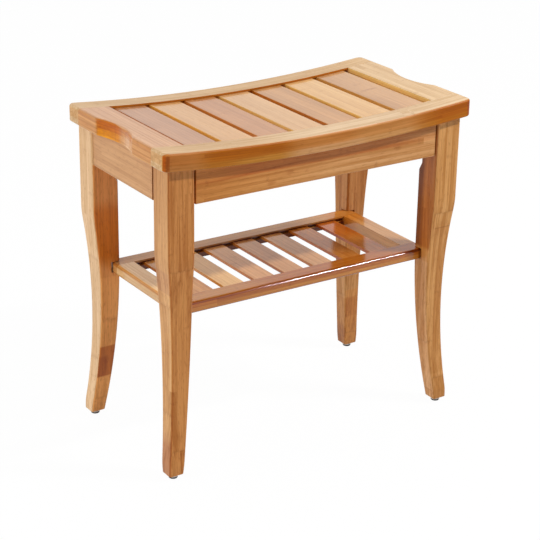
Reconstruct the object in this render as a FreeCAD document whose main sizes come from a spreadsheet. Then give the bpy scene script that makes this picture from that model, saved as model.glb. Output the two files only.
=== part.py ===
import FreeCAD
import Part
import Sketcher
import math
import os

# Bamboo bath stool: a dished seat of slats in a frame, four shaped legs, aprons and a slatted shelf.
# Millimetres. The origin is on the floor under the middle of the seat, X runs along the seat, the
# photographed front faces -Y and the legs stand up along +Z.

# Driving dimensions, all of them independent of each other.
SIZES = {
    # seat frame
    "seat_length": 476,
    "seat_depth": 256,
    "seat_height": 452,
    "seat_sag": 11.8,
    "seat_thickness": 23.5,
    "seat_rail_width": 32,
    "seat_board_width": 45,
    "seat_corner_radius": 9,
    "seat_top_radius": 3.5,
    "seat_under_radius": 2,
    "scoop_width": 96,
    "scoop_depth": 11,
    "scoop_corner_radius": 8,
    # seat slats
    "seat_slat_width": 46.5,
    "seat_slat_thickness": 9,
    "seat_slat_recess": 3,
    "seat_tongue": 6,
    "slat_edge_radius": 1,
    # legs
    "end_overhang": 10.6,
    "side_overhang": 9.2,
    "leg_width": 38.2,
    "leg_arris_radius": 3,
    "hollow_height": 166,
    "hollow_depth": 8.2,
    "hollow_radius": 1150,
    "knee_radius": 176,
    "foot_radius": 120,
    "foot_flare": 1.3,
    "taper_height": 238,
    "taper_radius": 1465,
    "bolt_flat": 7.5,
    "bolt_flat_below": 18,
    "bolt_flat_runout": 14,
    # aprons and corner blocks
    "apron_height": 52.5,
    "apron_thickness": 15,
    "apron_recess": 2,
    "apron_end_gap": 2.7,
    "end_apron_front_gap": 5,
    "end_apron_rear_gap": 0.4,
    "apron_edge_radius": 1.5,
    "block_thickness": 20,
    "block_rise": 5,
    # shelf
    "shelf_end_bite": 11.8,
    "shelf_side_bite": 13.9,
    "shelf_height": 234,
    "shelf_thickness": 14.9,
    "shelf_rail_width": 26,
    "shelf_board_width": 26.5,
    "shelf_corner_radius": 18,
    "shelf_top_radius": 5,
    "shelf_bottom_radius": 3,
    "shelf_slat_width": 31.8,
    "shelf_slat_thickness": 4,
    "shelf_slat_recess": 4,
    "shelf_tongue": 7,
    # feet
    "glide_diameter": 13,
    "glide_thickness": 4.5,
    "pad_diameter": 12,
    "pad_thickness": 2.5,
    "nail_diameter": 2.2,
    "nail_length": 14,
    # bolts, screws and dowels
    "bolt_diameter": 6,
    "bolt_reach": 16,
    "bolt_low": 13,
    "bolt_spacing": 18,
    "bolt_head_diameter": 11,
    "bolt_head_height": 3.5,
    "bolt_socket": 4.6,
    "bolt_socket_depth": 2.2,
    "washer_diameter": 14,
    "washer_thickness": 1.5,
    "insert_diameter": 9,
    "insert_length": 13,
    "screw_diameter": 4,
    "screw_head_diameter": 8,
    "screw_head_height": 2,
    "screw_bite": 13,
    "screw_recess": 22,
    "screw_from_apron": 9,
    "seat_dowel_diameter": 8,
    "seat_dowel_length": 36,
    "seat_dowel_spacing": 20,
    "apron_dowel_diameter": 6,
    "apron_dowel_length": 22,
    "long_apron_dowel_spacing": 110,
    "short_apron_dowel_spacing": 70,
    "shelf_dowel_diameter": 6,
    "shelf_dowel_length": 30,
    "shelf_dowel_spacing": 14,
    # clearances
    "glue_gap": 0.1,
    "groove_gap": 0.15,
    "notch_side_gap": 2,
    "notch_top_gap": 0.5,
    "bore_gap": 0.15,
}
SLAT_COUNT = 7
PAST = 1.0  # how far a cutting tool runs past the face that it opens
TOLERANCE = 1e-4

doc = FreeCAD.newDocument("bath_stool")
sheet = doc.addObject("Spreadsheet::Sheet", "sizes")
for row, (alias, value) in enumerate(SIZES.items(), start=1):
    sheet.set(f"A{row}", alias)
    sheet.set(f"B{row}", str(value))
    sheet.setAlias(f"B{row}", alias)
doc.recompute()

X_AXIS = FreeCAD.Vector(1, 0, 0)
Y_AXIS = FreeCAD.Vector(0, 1, 0)
Z_AXIS = FreeCAD.Vector(0, 0, 1)
INWARD = FreeCAD.Vector(1, 1, 0)  # from the front left leg's outer corner towards the middle
ACROSS = FreeCAD.Vector(1, -1, 0)  # square to INWARD

# Lengths that follow from the driving dimensions, as expressions.
DISH = "((sizes.seat_length ^ 2 / 4 + sizes.seat_sag ^ 2) / (2 * sizes.seat_sag))"
DISH_AXIS = f"(sizes.seat_height - sizes.seat_sag + {DISH})"
SEAT_OPENING = "(sizes.seat_length - 2 * sizes.seat_board_width)"
SEAT_INNER_Y = "(sizes.seat_depth / 2 - sizes.seat_rail_width)"
SEAT_GAP = f"(({SEAT_OPENING} - {SLAT_COUNT} * sizes.seat_slat_width) / {SLAT_COUNT + 1})"
LEG_X = "(sizes.seat_length / 2 - sizes.end_overhang)"
LEG_Y = "(sizes.seat_depth / 2 - sizes.side_overhang)"
APRON_BOTTOM = "(sizes.seat_height - sizes.seat_thickness - sizes.apron_height)"
APRON_BACK = "(sizes.apron_recess + sizes.apron_thickness)"
FOOT_HEIGHT = "(sizes.pad_thickness + sizes.glide_thickness)"
FLAT_FROM_CORNER = "((2 * sizes.leg_width - sizes.bolt_flat) / sqrt(2))"
BLOCK_BACK = f"({FLAT_FROM_CORNER} + sizes.block_thickness)"
BLOCK_BOTTOM = f"({APRON_BOTTOM} + sizes.block_rise)"
SHELF_BOTTOM = "(sizes.shelf_height - sizes.shelf_thickness)"
SHELF_HALF_X = f"({LEG_X} - sizes.leg_width + sizes.shelf_end_bite)"
SHELF_HALF_Y = f"({LEG_Y} - sizes.leg_width + sizes.shelf_side_bite)"
SHELF_OPENING = f"(2 * ({SHELF_HALF_X} - sizes.shelf_board_width))"
SHELF_INNER_Y = f"({SHELF_HALF_Y} - sizes.shelf_rail_width)"
SLAT_FLOOR = "(sizes.shelf_height - sizes.shelf_slat_recess - sizes.shelf_slat_thickness)"
SHELF_GAP = f"(({SHELF_OPENING} - {SLAT_COUNT} * sizes.shelf_slat_width) / {SLAT_COUNT + 1})"

nodes = []


def node(label, item):
    """Keep an object as the finished piece with this name."""
    item.Label = label
    nodes.append(item)
    return item


def size(alias):
    """A driving dimension's value, read from the sheet."""
    return float(sheet.get(alias))


def bind(item, expressions):
    """Tie an object's properties to the sheet."""
    for path, expression in expressions.items():
        item.setExpression(path, str(expression))
    return item


def at(x, y, z):
    """The expressions of a place."""
    return {"Placement.Base.x": x, "Placement.Base.y": y, "Placement.Base.z": z}


def box(name, corner, extent):
    """A box from its lowest corner and its extent along X, Y and Z."""
    item = doc.addObject("Part::Box", name)
    bind(item, at(*corner))
    return bind(item, dict(zip(("Length", "Width", "Height"), extent)))


def rod(name, start, axis, diameter, length):
    """A cylinder that starts at a point and runs along an axis."""
    item = doc.addObject("Part::Cylinder", name)
    item.Placement.Rotation = FreeCAD.Rotation(Z_AXIS, axis)
    bind(item, at(*start))
    return bind(item, {"Radius": f"({diameter}) / 2", "Height": length})


def cut(name, base, *tools):
    """The base with every tool taken out of it."""
    for count, tool in enumerate(tools, start=1):
        item = doc.addObject("Part::Cut", f"{name}_cut_{count}")
        item.Base = base
        item.Tool = tool
        base = item
    return base


def common(name, first, second):
    """What two objects share."""
    item = doc.addObject("Part::Common", f"{name}_common")
    item.Base = first
    item.Tool = second
    return item


def fuse(name, first, second):
    """Two objects as one solid."""
    item = doc.addObject("Part::Fuse", f"{name}_fuse")
    item.Base = first
    item.Tool = second
    return item


def group(label, items):
    """Several separate solids under one name."""
    item = doc.addObject("Part::Compound", f"{label}_group")
    item.Links = items
    return item


def mirror(name, source, normal):
    """The object's image in the upright plane through the origin that is square to normal."""
    item = doc.addObject("Part::Mirroring", f"{name}_mirror")
    item.Source = source
    item.Normal = normal
    return item


def round_edges(name, base, radius, picks):
    """Round the edges of base whose middle point passes the test."""
    doc.recompute()
    numbers = []
    for number, edge in enumerate(base.Shape.Edges, start=1):
        middle = edge.valueAt((edge.FirstParameter + edge.LastParameter) / 2)
        if picks(middle):
            numbers.append(number)
    item = doc.addObject("Part::Fillet", f"{name}_round")
    item.Base = base
    item.Edges = [(number, radius, radius) for number in numbers]
    return item


def near(value, target):
    """Whether two lengths are the same within the modelling tolerance."""
    return abs(value - target) < TOLERANCE


def front_and_rear(label, front):
    """The front piece and its image at the rear."""
    return [node(f"{label[0]}front{label[1]}", front),
            node(f"{label[0]}rear{label[1]}", mirror(f"{label[0]}rear", front, Y_AXIS))]


def left_and_right(label, left):
    """The left piece and its image at the right."""
    return [node(f"{label[0]}left{label[1]}", left),
            node(f"{label[0]}right{label[1]}", mirror(f"{label[0]}right", left, X_AXIS))]


def four_corners(name, front_left):
    """A piece of the front left corner with its images at the other three, in a fixed order."""
    front_right = mirror(f"{name}_front_right", front_left, X_AXIS)
    rear_left = mirror(f"{name}_rear_left", front_left, Y_AXIS)
    rear_right = mirror(f"{name}_rear_right", rear_left, X_AXIS)
    return {"front_left": front_left, "front_right": front_right,
            "rear_left": rear_left, "rear_right": rear_right}


def dish_cylinder(name, drop):
    """The round bar, lying along Y, whose lowest part is the seat's dish moved down by a drop."""
    item = doc.addObject("Part::Cylinder", name)
    item.Placement.Rotation = FreeCAD.Rotation(Z_AXIS, Y_AXIS)
    bind(item, at(0, "-sizes.seat_depth", DISH_AXIS))
    return bind(item, {"Radius": f"{DISH} + {drop}", "Height": "2 * sizes.seat_depth"})


SLAT_UNDER = "(sizes.seat_slat_recess + sizes.seat_slat_thickness)"
seat_top = dish_cylinder("seat_top", "0")
seat_under = dish_cylinder("seat_under", "sizes.seat_thickness")
seat_rest = dish_cylinder("seat_rest", "(sizes.seat_thickness + sizes.glue_gap)")
slat_top = dish_cylinder("slat_top", "sizes.seat_slat_recess")
slat_under = dish_cylinder("slat_under", SLAT_UNDER)
groove_top = dish_cylinder("groove_top", "(sizes.seat_slat_recess - sizes.groove_gap)")
groove_under = dish_cylinder("groove_under", f"({SLAT_UNDER} + sizes.groove_gap)")


def dished(name, corner, extent, top, under):
    """A board of the given plan between two dish surfaces."""
    low = f"(sizes.seat_height - sizes.seat_sag - sizes.seat_thickness - {PAST})"
    high = f"(sizes.seat_sag + sizes.seat_thickness + 2 * {PAST})"
    blank = box(f"{name}_blank", (*corner, low), (*extent, high))
    return cut(name, common(name, blank, under), top)


def under_seat(x):
    """The height of the seat's underside at a distance x from the middle."""
    return f"({DISH_AXIS} - sqrt(({DISH} + sizes.seat_thickness) ^ 2 - ({x}) ^ 2))"


def on_dish(point, drop):
    """Whether a point is on the dish surface moved down by a drop."""
    radius = (size("seat_length") ** 2 / 4 + size("seat_sag") ** 2) / (2 * size("seat_sag"))
    axis = size("seat_height") - size("seat_sag") + radius
    return near(math.hypot(point.x, point.z - axis), radius + drop)


def dowels_across(name, pitch_x, centre_x, y, z, diameter, length):
    """Two dowels along Y, side by side about centre_x and half on each side of y."""
    return [rod(f"{name}_{side}", (f"{centre_x} + {side} * {pitch_x} / 2", f"{y} - ({length}) / 2", z),
                Y_AXIS, diameter, length) for side in (-1, 1)]


def bored(diameter):
    """The bore that a round pin of this diameter goes into."""
    return f"({diameter} + 2 * sizes.bore_gap)"


def deep(length):
    """The depth of the bores, both ends together, for a pin of this length."""
    return f"({length} + 2 * sizes.bore_gap)"


def seat_frame():
    """Two long rails, two end boards with a hand scoop, and the dowels that join them."""
    half_length = size("seat_length") / 2
    half_depth = size("seat_depth") / 2
    inner_y = half_depth - size("seat_rail_width")

    board_middle = "(-sizes.seat_length / 2 + sizes.seat_board_width / 2)"
    dowel_z = f"({DISH_AXIS} - sqrt(({DISH} + sizes.seat_thickness / 2) ^ 2 - {board_middle} ^ 2))"
    dowel_place = ("sizes.seat_dowel_spacing", board_middle, f"-{SEAT_INNER_Y}", dowel_z)
    dowels = dowels_across("seat_dowel", *dowel_place, "sizes.seat_dowel_diameter", "sizes.seat_dowel_length")
    bores = dowels_across("seat_dowel_bore", *dowel_place, bored("sizes.seat_dowel_diameter"),
                          deep("sizes.seat_dowel_length"))
    left_bores = group("seat_left_bores", bores)
    right_bores = mirror("seat_right_bores", left_bores, X_AXIS)
    rear_bores = mirror("seat_rear_bores", left_bores, Y_AXIS)

    rail = dished("seat_rail", ("-sizes.seat_length / 2", "-sizes.seat_depth / 2"),
                  ("sizes.seat_length", "sizes.seat_rail_width"), seat_top, seat_under)
    groove_depth = "(sizes.seat_tongue + sizes.groove_gap)"
    groove = dished("seat_groove", (f"-{SEAT_OPENING} / 2", f"-{SEAT_INNER_Y} - {groove_depth}"),
                    (SEAT_OPENING, f"{groove_depth} + {PAST}"), groove_top, groove_under)
    rail = cut("seat_rail_bored", rail, groove, left_bores, right_bores, *apron_bores("front"))
    rail = round_edges("seat_rail_corner", rail, size("seat_corner_radius"),
                       lambda p: near(p.y, -half_depth) and near(abs(p.x), half_length))

    def rail_outline(point):
        """Whether a point is on the rail's outer outline, corners included."""
        in_corner = min(abs(point.x) - half_length, -point.y - half_depth) > -size("seat_corner_radius")
        return near(abs(point.x), half_length) or near(point.y, -half_depth) or in_corner

    levels = (("top", 0, size("seat_top_radius")),
              ("under", size("seat_thickness"), size("seat_under_radius")))
    for level, drop, radius in levels:
        rail = round_edges(f"seat_rail_{level}", rail, radius, lambda p: on_dish(p, drop) and rail_outline(p))
    front_and_rear(("seat_", "_rail"), rail)

    board = dished("seat_board", ("-sizes.seat_length / 2", f"-{SEAT_INNER_Y}"),
                   ("sizes.seat_board_width", f"2 * {SEAT_INNER_Y}"), seat_top, seat_under)
    scoop_radius = "((sizes.scoop_width ^ 2 / 4 + sizes.scoop_depth ^ 2) / (2 * sizes.scoop_depth))"
    scoop = rod("scoop", (f"-sizes.seat_length / 2 + sizes.scoop_depth - {scoop_radius}", 0, 0), Z_AXIS,
                f"2 * {scoop_radius}", "2 * sizes.seat_height")
    board = cut("seat_board_bored", board, scoop, left_bores, rear_bores, *apron_bores("left"),
                *screw_bores())
    board = round_edges("scoop_corner", board, size("scoop_corner_radius"),
                        lambda p: near(p.x, -half_length) and near(abs(p.y), size("scoop_width") / 2))

    def board_outline(point):
        """Whether a point is on the board's outer outline, scoop included."""
        return point.x < -half_length + size("scoop_depth") + TOLERANCE and abs(point.y) < inner_y - TOLERANCE

    for level, drop, radius in levels:
        board = round_edges(f"seat_board_{level}", board, radius,
                            lambda p: on_dish(p, drop) and board_outline(p))
    left_and_right(("seat_", "_end_board"), board)
    pins = four_corners("seat_dowels", group("seat_dowels_front_left", dowels))
    node("seat_frame_dowels", group("seat_frame_dowels", list(pins.values())))


def seat_slats():
    """Slats across the seat, their ends in the rails' grooves."""
    for count in range(SLAT_COUNT):
        name = f"seat_slat_{count + 1}"
        left = f"-{SEAT_OPENING} / 2 + {SEAT_GAP} + {count} * (sizes.seat_slat_width + {SEAT_GAP})"
        slat = dished(name, (left, f"-{SEAT_INNER_Y} - sizes.seat_tongue"),
                      ("sizes.seat_slat_width", f"2 * ({SEAT_INNER_Y} + sizes.seat_tongue)"),
                      slat_top, slat_under)
        slat = round_edges(name, slat, size("slat_edge_radius"),
                           lambda p: on_dish(p, size("seat_slat_recess")) and near(p.y, 0))
        node(name, slat)


def apron_dowel_places(side):
    """Where the upright dowels between an apron and the seat stand, as X and Y expressions."""
    if side == "front":
        y = f"(-{LEG_Y} + sizes.apron_recess + sizes.apron_thickness / 2)"
        return [(f"({step} * sizes.long_apron_dowel_spacing)", y) for step in (-1, 0, 1)]
    x = f"(-{LEG_X} + sizes.apron_recess + sizes.apron_thickness / 2)"
    return [(x, f"({step} * sizes.short_apron_dowel_spacing / 2)") for step in (-1, 1)]


def apron_pins(name, side, diameter, length):
    """Upright round bars centred on the seat's underside, one at each of an apron's dowels."""
    return [rod(f"{name}_{side}_{count}", (x, y, f"{under_seat(x)} - ({length}) / 2"),
                Z_AXIS, diameter, length)
            for count, (x, y) in enumerate(apron_dowel_places(side), start=1)]


def apron_bores(side):
    """The bores for an apron's dowels."""
    return apron_pins("apron_bore", side, bored("sizes.apron_dowel_diameter"),
                      deep("sizes.apron_dowel_length"))


def aprons():
    """Four boards under the seat, their tops cut to its curve and their ends clear of the legs.

    The two end boards all but touch the rear legs, so that their clearance is at the front.
    """
    half_long = f"({LEG_X} - sizes.leg_width - sizes.apron_end_gap)"
    between_legs = f"(2 * ({LEG_Y} - sizes.leg_width))"
    rise = f"(sizes.seat_height - {APRON_BOTTOM})"
    front_face = -size("seat_depth") / 2 + size("side_overhang") + size("apron_recess")
    left_face = -size("seat_length") / 2 + size("end_overhang") + size("apron_recess")
    bottom = size("seat_height") - size("seat_thickness") - size("apron_height")

    front = box("front_apron_blank", (f"-{half_long}", f"-{LEG_Y} + sizes.apron_recess", APRON_BOTTOM),
                (f"2 * {half_long}", "sizes.apron_thickness", rise))
    front = cut("front_apron", front, seat_rest, *apron_bores("front"))
    front = round_edges("front_apron", front, size("apron_edge_radius"),
                        lambda p: near(p.y, front_face) and near(p.z, bottom))
    left = box("left_apron_blank", (f"-{LEG_X} + sizes.apron_recess",
                                    f"-{between_legs} / 2 + sizes.end_apron_front_gap", APRON_BOTTOM),
               ("sizes.apron_thickness",
                f"{between_legs} - sizes.end_apron_front_gap - sizes.end_apron_rear_gap", rise))
    left = cut("left_apron", left, seat_rest, *apron_bores("left"))
    left = round_edges("left_apron", left, size("apron_edge_radius"),
                       lambda p: near(p.x, left_face) and near(p.z, bottom))
    front_and_rear(("", "_apron"), front)
    left_and_right(("", "_apron"), left)

    dowel = ("sizes.apron_dowel_diameter", "sizes.apron_dowel_length")
    front_pins = group("front_apron_dowels", apron_pins("apron_dowel", "front", *dowel))
    left_pins = group("left_apron_dowels", apron_pins("apron_dowel", "left", *dowel))
    node("apron_dowels", group("apron_dowels", [front_pins, mirror("rear_apron_dowels", front_pins, Y_AXIS),
                                                left_pins, mirror("right_apron_dowels", left_pins, X_AXIS)]))


def diagonal(distance):
    """The X and Y of a point on the front left leg's diagonal, from its outer corner."""
    return f"-{LEG_X} + ({distance}) / sqrt(2)", f"-{LEG_Y} + ({distance}) / sqrt(2)"


def bolt_levels():
    """The heights of the two bolts in a leg."""
    low = f"({BLOCK_BOTTOM} + sizes.bolt_low)"
    return [low, f"({low} + sizes.bolt_spacing)"]


def bolt_bars(name, start, axis, diameter, length):
    """A round bar on each bolt's line, from a distance on the diagonal along an axis."""
    return [rod(f"{name}_{count}", (*diagonal(start), level), axis, diameter, length)
            for count, level in enumerate(bolt_levels(), start=1)]


def corner_wedge(name, near_edge, far_edge):
    """A solid that widens along the diagonal. Each edge is its distance, half width, bottom and top."""
    item = doc.addObject("Part::Wedge", name)
    item.Placement.Rotation = FreeCAD.Rotation(Y_AXIS, INWARD)
    bind(item, at(f"-{LEG_X}", f"-{LEG_Y}", 0))
    distance, half_width, bottom, top = near_edge
    bind(item, {"Ymin": distance, "Xmin": f"-{half_width}", "Xmax": half_width, "Zmin": bottom, "Zmax": top})
    distance, half_width, bottom, top = far_edge
    return bind(item, {"Ymax": distance, "X2min": f"-{half_width}", "X2max": half_width,
                       "Z2min": bottom, "Z2max": top})


def screw_place():
    """The X and Y of the screw that goes up through the front left block into the end board."""
    along = f"({FLAT_FROM_CORNER} + sizes.block_thickness / 2) * sqrt(2)"
    return (f"-{LEG_X} + {APRON_BACK} + sizes.screw_from_apron",
            f"-{LEG_Y} + {along} - {APRON_BACK} - sizes.screw_from_apron")


def screw_bores():
    """The pilot bores in the left end board for the front and rear block screws."""
    x, y = screw_place()
    front = rod("screw_pilot", (x, y, BLOCK_BOTTOM), Z_AXIS, bored("sizes.screw_diameter"),
                f"{under_seat(x)} + sizes.screw_bite + sizes.bore_gap - {BLOCK_BOTTOM}")
    return [front, mirror("screw_pilot_rear", front, Y_AXIS)]


def corner_blocks():
    """A block across each corner, against the leg's flat, with the screw that holds it to the seat."""
    offset = f"({APRON_BACK} * sqrt(2))"
    top = "sizes.seat_height"
    block = corner_wedge("block_blank",
                         (FLAT_FROM_CORNER, f"({FLAT_FROM_CORNER} - {offset})", BLOCK_BOTTOM, top),
                         (BLOCK_BACK, f"({BLOCK_BACK} - {offset})", BLOCK_BOTTOM, top))
    bolt_bores = bolt_bars("block_bolt_bore", f"{FLAT_FROM_CORNER} - {PAST}", INWARD,
                           bored("sizes.bolt_diameter"), f"sizes.block_thickness + 2 * {PAST}")
    x, y = screw_place()
    counterbore = rod("screw_counterbore", (x, y, f"{BLOCK_BOTTOM} - {PAST}"), Z_AXIS,
                      bored("sizes.screw_head_diameter"), f"sizes.screw_recess + {PAST}")
    block = cut("corner_block", block, seat_rest, *bolt_bores, counterbore, screw_bores()[0])
    for place, item in four_corners("corner_block", block).items():
        node(f"{place}_corner_block", item)

    seat_of_head = f"({BLOCK_BOTTOM} + sizes.screw_recess)"
    head = rod("screw_head", (x, y, f"{seat_of_head} - sizes.screw_head_height"), Z_AXIS,
               "sizes.screw_head_diameter", "sizes.screw_head_height")
    shank = rod("screw_shank", (x, y, f"{seat_of_head} - sizes.screw_head_height / 2"), Z_AXIS,
                "sizes.screw_diameter",
                f"{under_seat(x)} + sizes.screw_bite - {seat_of_head} + sizes.screw_head_height / 2")
    screws = four_corners("block_screw", fuse("block_screw", head, shank))
    node("block_screws", group("block_screws", list(screws.values())))


def leg_profile():
    """The leg's side outline: a knee, a long hollow and a flared foot outside, a taper inside."""
    hollow_depth, hollow_radius, hollow_z = size("hollow_depth"), size("hollow_radius"), size("hollow_height")
    knee_radius, foot_radius, flare = size("knee_radius"), size("foot_radius"), size("foot_flare")
    taper_radius, taper_z, width = size("taper_radius"), size("taper_height"), size("leg_width")
    top, sole = size("seat_height"), size("pad_thickness") + size("glide_thickness")

    # Each outer arc is tangent to the next, so the knee and the foot follow from the hollow.
    knee_reach = hollow_radius + knee_radius
    foot_reach = hollow_radius + foot_radius
    knee_z = hollow_z + math.sqrt(knee_reach ** 2 - (knee_reach - hollow_depth) ** 2)
    foot_z = hollow_z - math.sqrt(foot_reach ** 2 - (foot_reach - hollow_depth - flare) ** 2)
    knee_turn = math.asin((knee_z - hollow_z) / knee_reach)
    foot_turn = math.asin((hollow_z - foot_z) / foot_reach)
    taper_turn = math.asin((taper_z - sole) / taper_radius)
    taper_foot = width - taper_radius * (1 - math.cos(taper_turn))

    def point(across, up):
        return FreeCAD.Vector(across, up, 0)

    def arc(centre, radius, start, end):
        return Part.ArcOfCircle(Part.Circle(centre, Z_AXIS, radius), start, end)

    sketch = doc.addObject("Sketcher::SketchObject", "leg_profile")
    sketch.Placement.Rotation = FreeCAD.Rotation(X_AXIS, 90)
    bind(sketch, at(f"-{LEG_X}", f"-{LEG_Y}", 0))
    outer, knee, hollow, foot, toe, sole_line, taper, inner, head = sketch.addGeometry([
        Part.LineSegment(point(0, top), point(0, knee_z)),
        arc(point(knee_radius, knee_z), knee_radius, math.pi, math.pi + knee_turn),
        arc(point(hollow_depth - hollow_radius, hollow_z), hollow_radius, -foot_turn, knee_turn),
        arc(point(foot_radius - flare, foot_z), foot_radius, math.pi - foot_turn, math.pi),
        Part.LineSegment(point(-flare, foot_z), point(-flare, sole)),
        Part.LineSegment(point(-flare, sole), point(taper_foot, sole)),
        arc(point(width - taper_radius, taper_z), taper_radius, -taper_turn, 0),
        Part.LineSegment(point(width, taper_z), point(width, top)),
        Part.LineSegment(point(width, top), point(0, top)),
    ], False)
    start, end, middle = 1, 2, 3
    axis = -1
    rule = Sketcher.Constraint
    sketch.addConstraint([
        rule("Tangent", outer, end, knee, start),
        rule("Tangent", knee, end, hollow, end),
        rule("Tangent", hollow, start, foot, start),
        rule("Tangent", foot, end, toe, start),
        rule("Coincident", toe, end, sole_line, start),
        rule("Coincident", sole_line, end, taper, start),
        rule("Tangent", taper, end, inner, start),
        rule("Coincident", inner, end, head, start),
        rule("Coincident", head, end, outer, start),
        rule("Vertical", outer),
        rule("Vertical", toe),
        rule("Vertical", inner),
        rule("Horizontal", sole_line),
        rule("Horizontal", head),
        rule("DistanceX", axis, 1, outer, start, 0.0),
    ])
    sizes_of_outline = {
        "top": (rule("DistanceY", axis, 1, outer, start, top), "sizes.seat_height"),
        "sole": (rule("DistanceY", axis, 1, toe, end, sole), FOOT_HEIGHT),
        "flare": (rule("DistanceX", toe, end, outer, start, flare), "sizes.foot_flare"),
        "width": (rule("DistanceX", axis, 1, inner, start, width), "sizes.leg_width"),
        "taper_height": (rule("DistanceY", axis, 1, inner, start, taper_z), "sizes.taper_height"),
        "taper_radius": (rule("Radius", taper, taper_radius), "sizes.taper_radius"),
        "knee_radius": (rule("Radius", knee, knee_radius), "sizes.knee_radius"),
        "foot_radius": (rule("Radius", foot, foot_radius), "sizes.foot_radius"),
        "hollow_radius": (rule("Radius", hollow, hollow_radius), "sizes.hollow_radius"),
        "hollow_height": (rule("DistanceY", axis, 1, hollow, middle, hollow_z), "sizes.hollow_height"),
        "hollow_reach": (rule("DistanceX", hollow, middle, axis, 1, hollow_radius - hollow_depth),
                         "sizes.hollow_radius - sizes.hollow_depth"),
    }
    for name, (constraint, expression) in sizes_of_outline.items():
        number = sketch.addConstraint(constraint)
        sketch.renameConstraint(number, name)
        sketch.setExpression(f"Constraints.{name}", expression)
    return sketch


def leg_blank():
    """The leg sawn to its outline from two sides, with its four long edges eased."""
    one_way = doc.addObject("Part::Extrusion", "leg_one_way")
    one_way.Base = leg_profile()
    one_way.DirMode = "Custom"
    one_way.Dir = Y_AXIS
    one_way.Solid = True
    bind(one_way, {"LengthFwd": "sizes.leg_width", "LengthRev": "sizes.foot_flare"})
    other_way = mirror("leg_other_way", one_way, ACROSS)
    bind(other_way, {"Base.x": f"-{LEG_X}", "Base.y": f"-{LEG_Y}"})
    blank = common("leg", one_way, other_way)
    top = size("seat_height")
    sole = size("pad_thickness") + size("glide_thickness")
    return round_edges("leg", blank, size("leg_arris_radius"),
                       lambda p: sole + TOLERANCE < p.z < top - TOLERANCE)


def shelf_notch():
    """The space that the shelf takes in the legs: its outline with a little room, resting on its floor."""
    long_way = f"({SHELF_HALF_X} + sizes.notch_side_gap)"
    short_way = f"({SHELF_HALF_Y} + sizes.notch_side_gap)"
    notch = box("notch_blank", (f"-{long_way}", f"-{short_way}", SHELF_BOTTOM),
                (f"2 * {long_way}", f"2 * {short_way}", "sizes.shelf_thickness + sizes.notch_top_gap"))
    half_x, half_y = (half + size("notch_side_gap") for half in shelf_half_sizes())
    return round_edges("notch", notch, size("shelf_corner_radius") + size("notch_side_gap"),
                       lambda p: near(abs(p.x), half_x) and near(abs(p.y), half_y))


def legs():
    """Four legs with a flat for the corner block, threaded inserts for its bolts and a shelf notch."""
    corner = "(2 * sizes.leg_width / sqrt(2))"
    flat_bottom = f"({APRON_BOTTOM} - sizes.bolt_flat_below)"
    flat_depth = f"({corner} - {FLAT_FROM_CORNER})"
    past_corner = f"({PAST} * sizes.bolt_flat_runout / {flat_depth})"
    flat = corner_wedge("bolt_flat_cut",
                        (FLAT_FROM_CORNER, "sizes.leg_width", flat_bottom, "sizes.seat_height"),
                        (f"{corner} + {PAST}", "sizes.leg_width",
                         f"{flat_bottom} - sizes.bolt_flat_runout - {past_corner}", "sizes.seat_height"))
    outward = INWARD.negative()
    insert_bores = bolt_bars("insert_bore", f"{FLAT_FROM_CORNER} + {PAST}", outward,
                             bored("sizes.insert_diameter"), f"sizes.insert_length + sizes.bore_gap + {PAST}")
    tip_bores = bolt_bars("bolt_tip_bore", FLAT_FROM_CORNER, outward, bored("sizes.bolt_diameter"),
                          "sizes.bolt_reach + sizes.bore_gap")
    x, y = foot_place()
    nail_bore = rod("nail_bore", (x, y, f"{FOOT_HEIGHT} - {PAST}"), Z_AXIS, bored("sizes.nail_diameter"),
                    f"sizes.nail_length + sizes.bore_gap + {PAST}")
    leg = cut("leg_finished", leg_blank(), flat, seat_rest, shelf_notch(), *insert_bores, *tip_bores,
              nail_bore)
    for place, item in four_corners("leg", leg).items():
        node(f"{place}_leg", item)

    sleeves = bolt_bars("insert", FLAT_FROM_CORNER, outward, "sizes.insert_diameter", "sizes.insert_length")
    threads = bolt_bars("insert_thread", f"{FLAT_FROM_CORNER} + {PAST}", outward,
                        bored("sizes.bolt_diameter"), f"sizes.insert_length + 2 * {PAST}")
    inserts = [cut(f"insert_{count}", *pair) for count, pair in enumerate(zip(sleeves, threads), start=1)]
    corners = four_corners("inserts", group("inserts", inserts))
    node("leg_inserts", group("leg_inserts", list(corners.values())))


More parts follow.
